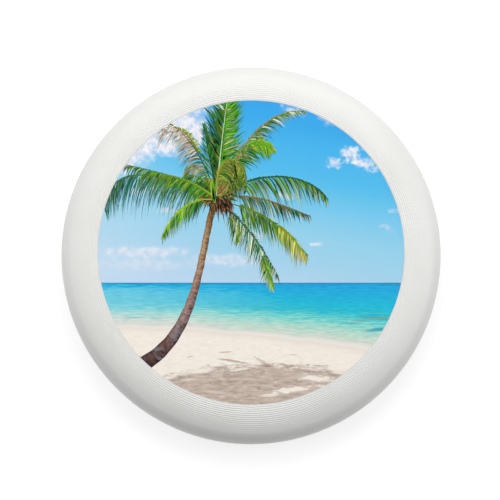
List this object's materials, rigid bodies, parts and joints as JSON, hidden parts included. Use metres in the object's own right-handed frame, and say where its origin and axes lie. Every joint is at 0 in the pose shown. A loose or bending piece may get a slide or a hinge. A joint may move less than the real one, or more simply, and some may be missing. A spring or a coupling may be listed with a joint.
{
  "type": "flying disc",
  "caption": "White moulded flying disc for throwing, with fine flight rings round its shoulder, a deep rounded rim and a round beach-picture label set into its flat top.",
  "frame": {"origin": "on the disc's axis, at the level of the rim's foot, which the disc stands on", "axes": "+Z along the disc's axis, out of the printed top; +Y towards the top of the picture; +X towards its right"},
  "size_m": [0.273, 0.273, 0.032],
  "materials": {
    "moulded_shell": "white polyethylene, satin from the mould",
    "adhesive": "pressure-sensitive adhesive film",
    "printed_film": "ink-jet printed white vinyl: palm tree on a beach",
    "clear_film": "clear semi-gloss protective laminate"
  },
  "bodies": {
    "root": {"disc_body": "moulded_shell", "label_adhesive": "adhesive", "picture_film": "printed_film", "clear_laminate": "clear_film"}
  },
  "joints": []
}
